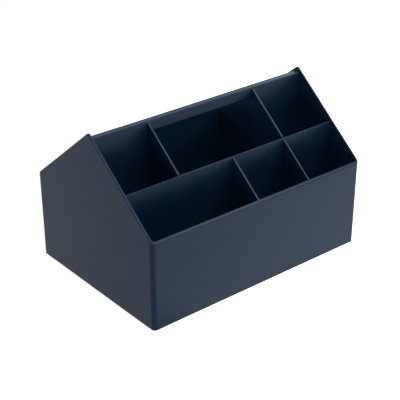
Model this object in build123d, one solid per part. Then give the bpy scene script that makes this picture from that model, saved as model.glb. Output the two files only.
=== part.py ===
from build123d import *
import os
from math import radians, tan

# Desk tool box of moulded plastic: a gabled casing with open compartments on both roof slopes
# and a carry handle along the ridge. Millimetres, +Z up, origin on the table under the middle.

# Casing
BASE_LENGTH = 329.0       # outside, along X, at the table
BASE_DEPTH = 233.0        # outside, along Y, at the table
EAVE_HEIGHT = 115.0       # table to the outer edge of the long walls' rims
APEX_HEIGHT = 210.5       # table to the line where the two roof slopes would meet
DRAFT_ANGLE = 0.3         # outward lean of the outside walls, in degrees
WALL = 2.8
FLOOR = 3.0
CORNER_RADIUS = 5.5       # upright corners, outside
APEX_RADIUS = 4.0         # peak of each gable
RIM_RADIUS = 1.3          # outer edge of the rim
BASE_EDGE_RADIUS = 0.8    # lowest outer edge of the casing

# Ridge walls and carry handle
RIDGE_THICKNESS = 9.4     # across a hollow ridge wall, and across the handle bar
RIDGE_SKIN = 2.4
RIDGE_DROP = 6.9          # ridge top below the apex line
RIDGE_EDGE_RADIUS = 1.2
HANDLE_HEIGHT = 16.8      # down from the ridge top
HANDLE_GRIP_RADIUS = 4.3  # lower edges of the bar, where the fingers close
TENON_LENGTH = 12.0       # each end of the bar that plugs into a ridge wall

# Inner walls
PARTITION = 2.6           # thickness of mid walls and dividers
PARTITION_DROP = 4.8      # their tops below the roof slopes
PARTITION_EDGE_RADIUS = 0.5
MID_WALL_Y = -63.0        # middle of the front mid wall
UPPER_LEFT_X = -83.0      # middles of the front dividers
UPPER_RIGHT_X = 81.5
LOWER_CENTRE_X = -1.3
LOWER_RIGHT_X = 81.5

# Tongues on the inner walls' upright edges, and the grooves they sit in
TONGUE = 1.4
TONGUE_DEPTH = 0.8
TONGUE_DROP = 2.5         # top of a tongue below the top of its wall
CLEARANCE = 0.05

# Feet
FOOT_DIAMETER = 14.0
FOOT_RECESS = 0.9         # how far a foot sits up in the casing's floor
FOOT_STAND = 0.5          # how far a foot stands out under the casing
FOOT_INSET = 16.0         # middle of a foot from the outside walls
FOOT_BEVEL = 0.2

LEAN = tan(radians(DRAFT_ANGLE))
ROOF_SLOPE = (APEX_HEIGHT - EAVE_HEIGHT) / (BASE_DEPTH / 2 + EAVE_HEIGHT * LEAN)
FLOOR_TOP = FOOT_STAND + FLOOR
RIDGE_TOP = APEX_HEIGHT - RIDGE_DROP
RIDGE_FACE_Y = -RIDGE_THICKNESS / 2
RIDGE_END_X = UPPER_RIGHT_X - PARTITION / 2
MID_WALL_TOP = APEX_HEIGHT - PARTITION_DROP + ROOF_SLOPE * MID_WALL_Y
HANDLE_BOTTOM = RIDGE_TOP - HANDLE_HEIGHT
OVERSIZE = 2 * BASE_LENGTH
HALF_TURN = Rot(0, 0, 180)


def box_between(x, y, z):
    """A box from its lowest to its highest x, y and z."""
    return Pos(sum(x) / 2, sum(y) / 2, sum(z) / 2) * Box(x[1] - x[0], y[1] - y[0], z[1] - z[0])


def around(middle, width):
    """The two ends of a span of the given width."""
    return (middle - width / 2, middle + width / 2)


def drafted_block(inset, low, high):
    """The space inside the casing's outer faces moved in by inset, from one height to another."""
    outline = Pos(0, 0, low) * RectangleRounded(
        BASE_LENGTH + 2 * low * LEAN - 2 * inset,
        BASE_DEPTH + 2 * low * LEAN - 2 * inset,
        CORNER_RADIUS - inset,
    )
    return extrude(outline, amount=high - low, taper=-DRAFT_ANGLE)


def inside(reach):
    """The casing's inner space, grown into its walls by reach."""
    return drafted_block(WALL - reach, FLOOR_TOP, APEX_HEIGHT + FLOOR)


def under_roof(drop, peak_radius=0):
    """Everything below the two roof slopes moved down by drop, with a rounded peak if asked for."""
    peak = APEX_HEIGHT - drop
    eave = peak - ROOF_SLOPE * BASE_DEPTH
    slopes = [(-BASE_DEPTH, eave), (0, peak), (BASE_DEPTH, eave)]
    profile = make_face(Plane.YZ * Polyline(*slopes, (BASE_DEPTH, -peak), (-BASE_DEPTH, -peak), close=True))
    if peak_radius:
        profile = fillet(profile.vertices().sort_by(Axis.Z)[-1], peak_radius)
    return extrude(profile, amount=OVERSIZE / 2, both=True)


def divider(x, y):
    """A divider at x whose ends touch the walls it stands between."""
    plate = box_between(around(x, PARTITION), y, (FLOOR_TOP, APEX_HEIGHT))
    plate = plate & inside(0) & under_roof(PARTITION_DROP)
    top = plate.faces().filter_by(lambda face: face.normal_at().Z > CLEARANCE)
    edges = [edge for edge in top.edges() if edge.length > PARTITION]
    return fillet(edges, PARTITION_EDGE_RADIUS)


def divider_tongues(x, y, extra=0):
    """The tongues at both ends of a divider, grown by extra to cut their grooves."""
    reach = TONGUE_DEPTH + extra
    plate = box_between(around(x, TONGUE + 2 * extra), (y[0] - reach, y[1] + reach), (FLOOR_TOP, APEX_HEIGHT))
    return plate & inside(reach) & under_roof(PARTITION_DROP + TONGUE_DROP - extra)


def cross_tongues(y, top, extra=0):
    """A sheet along X that reaches into both gables, for the tongues of mid walls and ridge walls."""
    height = (FLOOR_TOP, top - TONGUE_DROP + extra)
    plate = box_between((-OVERSIZE, OVERSIZE), around(y, TONGUE + 2 * extra), height)
    return plate & inside(TONGUE_DEPTH + extra)


UPPER_SPAN = (MID_WALL_Y + PARTITION / 2, RIDGE_FACE_Y)
LOWER_SPAN = (-OVERSIZE, MID_WALL_Y - PARTITION / 2)
FRONT_DIVIDERS = {
    "front_upper_left_divider": (UPPER_LEFT_X, UPPER_SPAN),
    "front_upper_right_divider": (UPPER_RIGHT_X, UPPER_SPAN),
    "front_lower_centre_divider": (LOWER_CENTRE_X, LOWER_SPAN),
    "front_lower_right_divider": (LOWER_RIGHT_X, LOWER_SPAN),
}
REAR_NAMES = {
    "front_upper_left_divider": "rear_upper_right_divider",
    "front_upper_right_divider": "rear_upper_left_divider",
    "front_lower_centre_divider": "rear_lower_centre_divider",
    "front_lower_right_divider": "rear_lower_left_divider",
}
parts = {}

# Front dividers, with the grooves that they need in their neighbours.
grooves = Part()
for name, (x, y) in FRONT_DIVIDERS.items():
    parts[name] = divider(x, y) + divider_tongues(x, y)
    grooves += divider_tongues(x, y, CLEARANCE)
grooves += HALF_TURN * grooves

# Front mid wall: a level top between the gables.
mid_wall = box_between((-OVERSIZE, OVERSIZE), around(MID_WALL_Y, PARTITION), (FLOOR_TOP, MID_WALL_TOP))
mid_wall = mid_wall & inside(0)
mid_wall = fillet(mid_wall.faces().sort_by(Axis.Z)[-1].edges().filter_by(Axis.X), PARTITION_EDGE_RADIUS)
mid_wall += cross_tongues(MID_WALL_Y, MID_WALL_TOP)
parts["front_mid_wall"] = mid_wall - grooves

# Left ridge wall: hollow and open below, with a socket for the bar in its inner end.
ridge_y = around(0, RIDGE_THICKNESS)
hollow_y = around(0, RIDGE_THICKNESS - 2 * RIDGE_SKIN)
ridge_wall = box_between((-OVERSIZE, -RIDGE_END_X), ridge_y, (FLOOR_TOP, RIDGE_TOP)) & inside(0)
ridge_wall = fillet(ridge_wall.faces().sort_by(Axis.Z)[-1].edges().filter_by(Axis.X), RIDGE_EDGE_RADIUS)
hollow_x = (RIDGE_SKIN + WALL - BASE_LENGTH / 2, -RIDGE_END_X - RIDGE_SKIN)
ridge_wall -= box_between(hollow_x, hollow_y, (FLOOR_TOP, RIDGE_TOP - RIDGE_SKIN))
socket_x = (hollow_x[1], -RIDGE_END_X)
ridge_wall -= box_between(socket_x, hollow_y, (HANDLE_BOTTOM + RIDGE_SKIN, RIDGE_TOP - RIDGE_SKIN))
ridge_tongue = cross_tongues(0, RIDGE_TOP) & box_between((-OVERSIZE, hollow_x[0]), ridge_y, (0, RIDGE_TOP))
parts["ridge_wall_left"] = ridge_wall + ridge_tongue - grooves

# Carry handle: a bar that stays flush with the ridge walls, with a tenon at each end.
bar = box_between((-RIDGE_END_X, RIDGE_END_X), ridge_y, (HANDLE_BOTTOM, RIDGE_TOP))
bar = fillet(bar.faces().sort_by(Axis.Z)[-1].edges().filter_by(Axis.X), RIDGE_EDGE_RADIUS)
bar = fillet(bar.faces().sort_by(Axis.Z)[0].edges().filter_by(Axis.X), HANDLE_GRIP_RADIUS)
tenon_x = around(0, 2 * (RIDGE_END_X + TENON_LENGTH))
tenon_y = around(0, RIDGE_THICKNESS - 2 * RIDGE_SKIN - 2 * CLEARANCE)
tenon_z = (HANDLE_BOTTOM + RIDGE_SKIN + CLEARANCE, RIDGE_TOP - RIDGE_SKIN - CLEARANCE)
parts["carry_handle"] = bar + box_between(tenon_x, tenon_y, tenon_z)

# Everything behind the ridge repeats the front, turned half way round.
for name, rear_name in REAR_NAMES.items():
    parts[rear_name] = HALF_TURN * parts[name]
parts["rear_mid_wall"] = HALF_TURN * parts["front_mid_wall"]
parts["ridge_wall_right"] = HALF_TURN * parts["ridge_wall_left"]

# Casing. Its rim is one closed outline round the gables and the long walls.
casing = drafted_block(0, FOOT_STAND, APEX_HEIGHT) & under_roof(0, APEX_RADIUS)
casing = fillet(casing.edges().group_by(Axis.Z)[0], BASE_EDGE_RADIUS)
roof = casing.faces().filter_by(lambda face: face.normal_at().Z > LEAN + CLEARANCE)
far_x = BASE_LENGTH / 2 - CORNER_RADIUS
far_y = BASE_DEPTH / 2 - CORNER_RADIUS
rim = [edge for edge in roof.edges() if abs(edge.center().X) > far_x or abs(edge.center().Y) > far_y]
casing = fillet(rim, RIM_RADIUS)
casing -= inside(0)
casing -= grooves
for y in (MID_WALL_Y, -MID_WALL_Y):
    casing -= cross_tongues(y, MID_WALL_TOP, CLEARANCE)
casing -= cross_tongues(0, RIDGE_TOP, CLEARANCE)

# Feet: round pads set into the floor.
foot = Pos(0, 0, (FOOT_RECESS + FOOT_STAND) / 2) * Cylinder(FOOT_DIAMETER / 2, FOOT_RECESS + FOOT_STAND)
foot = chamfer(foot.edges().sort_by(Axis.Z)[0], FOOT_BEVEL)
recess = Pos(0, 0, FOOT_STAND) * Cylinder(FOOT_DIAMETER / 2 + CLEARANCE, 2 * FOOT_RECESS)
foot_x = BASE_LENGTH / 2 - FOOT_INSET
foot_y = BASE_DEPTH / 2 - FOOT_INSET
for side_x, x in (("left", -foot_x), ("right", foot_x)):
    for side_y, y in (("front", -foot_y), ("rear", foot_y)):
        parts[f"foot_{side_y}_{side_x}"] = Pos(x, y, 0) * foot
        casing -= Pos(x, y, 0) * recess
parts["casing"] = casing

os.makedirs("parts", exist_ok=True)
for name, part in parts.items():
    part.label = name
    export_step(part, f"parts/{name}.step")
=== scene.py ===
import bpy
from math import cos, pi, radians, sin
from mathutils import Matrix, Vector

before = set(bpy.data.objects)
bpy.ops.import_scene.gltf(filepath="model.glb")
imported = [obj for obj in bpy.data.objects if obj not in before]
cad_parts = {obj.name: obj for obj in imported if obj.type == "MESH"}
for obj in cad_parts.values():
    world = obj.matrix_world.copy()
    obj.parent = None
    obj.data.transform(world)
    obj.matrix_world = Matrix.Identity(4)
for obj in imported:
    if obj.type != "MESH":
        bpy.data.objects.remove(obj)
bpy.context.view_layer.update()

# Camera, fitted to the photograph, in metres
CAMERA_AZIMUTH = radians(-39.465)       # 0 looks along +Y
CAMERA_ELEVATION = radians(28.018)
CAMERA_DISTANCE = 1.4223                # to the point it looks at
LOOK_AT = Vector((0.0, 0.0, 0.080))
SLIDE_RIGHT = -0.00028                  # along the camera's own right and up
SLIDE_UP = -0.00976
CLIP_START = 0.05
FOCAL_PIXELS = 1121.0                   # focal length in pixels of the photograph's frame
FRAME_PIXELS = 400.0
SENSOR_MM = 36.0

# Moulded plastic
BLUE_SLATE = (0.007, 0.029, 0.068)
SLATE_SHADES = (0.94, 1.06)             # darkest and lightest patches, as shares of the colour
PATCH_SCALE = 9.0                       # slow patches, in noise cells per metre
PATCH_DETAIL = 2.0
PLASTIC_ROUGHNESS = (0.27, 0.31)
PLASTIC_GLOSS = 0.12
GRAIN_SCALE = 1400.0                    # the mould's fine grain
GRAIN_DETAIL = 3.0
GRAIN_STRENGTH = 0.10
GRAIN_HEIGHT = 0.0002                   # metres

# Rubber
RUBBER_SCALE = 900.0
RUBBER_SHADES = ((0.018, 0.018, 0.019), (0.028, 0.028, 0.030))
RUBBER_ROUGHNESS = (0.80, 0.90)

# Studio. Its strengths are radiances, where 1 shows as white.
WHITE = (1.0, 1.0, 1.0, 1.0)
WORLD_SHOWN = 1.0                       # what the camera, gloss and glass see
WORLD_MET = 0.02                        # what all other light meets
FLOOR_SIZE = 12.0                       # metres
FLOOR_SHOWN_ALBEDO = 0.08
FLOOR_MET_ALBEDO = 0.8
# Painted light: the floor glows brighter toward the front and the right, standing in for a table
# lit from the right, and dimmer to the left and back, standing in for the object's shadow there.
BRIGHTER_TOWARD = (0.87, -0.50, 0.0)    # the floor glows more along this direction,
BRIGHTER_SPAN = (-0.10, -0.02)          # from the first distance in metres to the second,
FLOOR_SHOWN_GLOW = (0.98, 2.20)         # from the first strength to the second
FLOOR_MET_GLOW = (0.0, 0.28)

# Soft boxes: azimuth and elevation in degrees, width and height in metres, and radiance.
# Azimuth 0 is +X and 90 is +Y.
SOFT_BOX_DISTANCE = 1.5                 # metres from the point that the camera looks at
SOFT_BOXES = {
    "overhead_box": (0, 89, 0.38, 0.38, 13.0),
    "top_box": (-100, 70, 0.9, 0.9, 2.8),
    "key_box": (-30, 50, 0.75, 0.42, 6.0),
    "right_box": (5, 45, 0.6, 0.5, 4.6),
    "right_low_box": (20, 25, 1.1, 0.35, 1.8),
    "back_box": (90, 8, 1.3, 0.5, 0.35),
    "left_low_box": (180, 5, 1.1, 0.35, 2.3),
    "left_box": (140, 20, 0.9, 0.5, 1.2),
}


def make_camera():
    """The camera at the photograph's viewing angle."""
    data = bpy.data.cameras.new("camera")
    camera = bpy.data.objects.new("camera", data)
    bpy.context.scene.collection.objects.link(camera)
    back = Vector((
        sin(CAMERA_AZIMUTH) * cos(CAMERA_ELEVATION),
        -cos(CAMERA_AZIMUTH) * cos(CAMERA_ELEVATION),
        sin(CAMERA_ELEVATION),
    ))
    right = Vector((cos(CAMERA_AZIMUTH), sin(CAMERA_AZIMUTH), 0.0))
    up = back.cross(right)
    camera.location = LOOK_AT + back * CAMERA_DISTANCE + right * SLIDE_RIGHT + up * SLIDE_UP
    camera.rotation_euler = back.to_track_quat("Z", "Y").to_euler()
    data.sensor_width = SENSOR_MM
    data.lens = FOCAL_PIXELS / FRAME_PIXELS * SENSOR_MM
    data.clip_start = CLIP_START
    bpy.context.scene.camera = camera


def soft_box(name, azimuth, elevation, width, height, radiance):
    """A soft box aimed at the object from a direction given in degrees."""
    turn, rise = radians(azimuth), radians(elevation)
    away = Vector((cos(turn) * cos(rise), sin(turn) * cos(rise), sin(rise)))
    data = bpy.data.lights.new(name, "AREA")
    data.shape = "RECTANGLE"
    data.size, data.size_y = width, height
    data.energy = radiance * pi * width * height
    light = bpy.data.objects.new(name, data)
    light.location = LOOK_AT + away * SOFT_BOX_DISTANCE
    light.rotation_euler = away.to_track_quat("Z", "Y").to_euler()
    bpy.context.scene.collection.objects.link(light)


def new_material(name):
    """A material with its nodes, its links and its shader."""
    material = bpy.data.materials.new(name)
    material.use_nodes = True
    nodes, links = material.node_tree.nodes, material.node_tree.links
    return material, nodes, links, nodes["Principled BSDF"]


def vary(nodes, links, shader, noise, colours, roughness):
    """Lets a noise move the surface between two colours and between two roughnesses."""
    ramp = nodes.new("ShaderNodeValToRGB")
    for element, colour in zip(ramp.color_ramp.elements, colours):
        element.color = (*colour, 1.0)
    links.new(noise.outputs["Fac"], ramp.inputs["Fac"])
    links.new(ramp.outputs["Color"], shader.inputs["Base Color"])
    polish = nodes.new("ShaderNodeMapRange")
    polish.inputs["To Min"].default_value, polish.inputs["To Max"].default_value = roughness
    links.new(noise.outputs["Fac"], polish.inputs["Value"])
    links.new(polish.outputs[0], shader.inputs["Roughness"])


def plastic():
    """Dark slate moulded plastic with a fine grain and slow patches."""
    material, nodes, links, shader = new_material("moulded_plastic")
    place = nodes.new("ShaderNodeTexCoord")
    grain = nodes.new("ShaderNodeTexNoise")
    grain.inputs["Scale"].default_value = GRAIN_SCALE
    grain.inputs["Detail"].default_value = GRAIN_DETAIL
    links.new(place.outputs["Object"], grain.inputs["Vector"])
    bump = nodes.new("ShaderNodeBump")
    bump.inputs["Strength"].default_value = GRAIN_STRENGTH
    bump.inputs["Distance"].default_value = GRAIN_HEIGHT
    links.new(grain.outputs["Fac"], bump.inputs["Height"])
    links.new(bump.outputs["Normal"], shader.inputs["Normal"])
    patches = nodes.new("ShaderNodeTexNoise")
    patches.inputs["Scale"].default_value = PATCH_SCALE
    patches.inputs["Detail"].default_value = PATCH_DETAIL
    links.new(place.outputs["Object"], patches.inputs["Vector"])
    colours = [[channel * shade for channel in BLUE_SLATE] for shade in SLATE_SHADES]
    vary(nodes, links, shader, patches, colours, PLASTIC_ROUGHNESS)
    shader.inputs["Specular IOR Level"].default_value = PLASTIC_GLOSS
    return material


def rubber():
    """Matt black rubber for the feet."""
    material, nodes, links, shader = new_material("foot_rubber")
    grain = nodes.new("ShaderNodeTexNoise")
    grain.inputs["Scale"].default_value = RUBBER_SCALE
    vary(nodes, links, shader, grain, RUBBER_SHADES, RUBBER_ROUGHNESS)
    return material


def shown_or_met(nodes, links, shown, met):
    """One shader for camera, glossy and transmission rays, and another for all other light."""
    path = nodes.new("ShaderNodeLightPath")
    seen = path.outputs["Is Camera Ray"]
    for ray in ("Is Glossy Ray", "Is Transmission Ray"):
        either = nodes.new("ShaderNodeMath")
        either.operation = "MAXIMUM"
        links.new(seen, either.inputs[0])
        links.new(path.outputs[ray], either.inputs[1])
        seen = either.outputs[0]
    mix = nodes.new("ShaderNodeMixShader")
    links.new(seen, mix.inputs["Fac"])
    links.new(met, mix.inputs[1])
    links.new(shown, mix.inputs[2])
    return mix.outputs[0]


def white_world():
    """A world that shows as white and is a nearly dark room to all other light."""
    world = bpy.data.worlds.new("studio")
    bpy.context.scene.world = world
    world.use_nodes = True
    nodes, links = world.node_tree.nodes, world.node_tree.links
    nodes.clear()
    backgrounds = []
    for strength in (WORLD_SHOWN, WORLD_MET):
        background = nodes.new("ShaderNodeBackground")
        background.inputs["Color"].default_value = WHITE
        background.inputs["Strength"].default_value = strength
        backgrounds.append(background.outputs[0])
    out = nodes.new("ShaderNodeOutputWorld")
    links.new(shown_or_met(nodes, links, *backgrounds), out.inputs["Surface"])


def glowing_felt(nodes, links, along, albedo, glow):
    """A matt surface whose glow, painted light, rises from one strength to another across the
    bright span.
    """
    matt = nodes.new("ShaderNodeBsdfDiffuse")
    matt.inputs["Color"].default_value = (albedo, albedo, albedo, 1.0)
    ramp = nodes.new("ShaderNodeMapRange")
    ramp.inputs["From Min"].default_value, ramp.inputs["From Max"].default_value = BRIGHTER_SPAN
    ramp.inputs["To Min"].default_value, ramp.inputs["To Max"].default_value = glow
    links.new(along.outputs["Value"], ramp.inputs["Value"])
    light = nodes.new("ShaderNodeEmission")
    links.new(ramp.outputs[0], light.inputs["Strength"])
    both = nodes.new("ShaderNodeAddShader")
    links.new(matt.outputs[0], both.inputs[0])
    links.new(light.outputs[0], both.inputs[1])
    return both.outputs[0]


def white_floor():
    """A floor that shows as white and shines back at the object from the front and the right; its
    glow is painted light, standing in for a table lit from the right and shaded by the object on
    the left and back.
    """
    bpy.ops.mesh.primitive_plane_add(size=FLOOR_SIZE)
    floor = bpy.context.object
    floor.name = "floor"
    material, nodes, links, shader = new_material("floor")
    nodes.remove(shader)
    place = nodes.new("ShaderNodeNewGeometry")
    along = nodes.new("ShaderNodeVectorMath")
    along.operation = "DOT_PRODUCT"
    along.inputs[1].default_value = BRIGHTER_TOWARD
    links.new(place.outputs["Position"], along.inputs[0])
    shown = glowing_felt(nodes, links, along, FLOOR_SHOWN_ALBEDO, FLOOR_SHOWN_GLOW)
    met = glowing_felt(nodes, links, along, FLOOR_MET_ALBEDO, FLOOR_MET_GLOW)
    surface = shown_or_met(nodes, links, shown, met)
    links.new(surface, nodes["Material Output"].inputs["Surface"])
    floor.data.materials.append(material)


make_camera()
white_world()
white_floor()
for name, placing in SOFT_BOXES.items():
    soft_box(name, *placing)

slate = plastic()
black = rubber()
for name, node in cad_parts.items():
    node.data.materials.clear()
    node.data.materials.append(black if name.startswith("foot") else slate)

bpy.context.scene.view_settings.view_transform = "Standard"
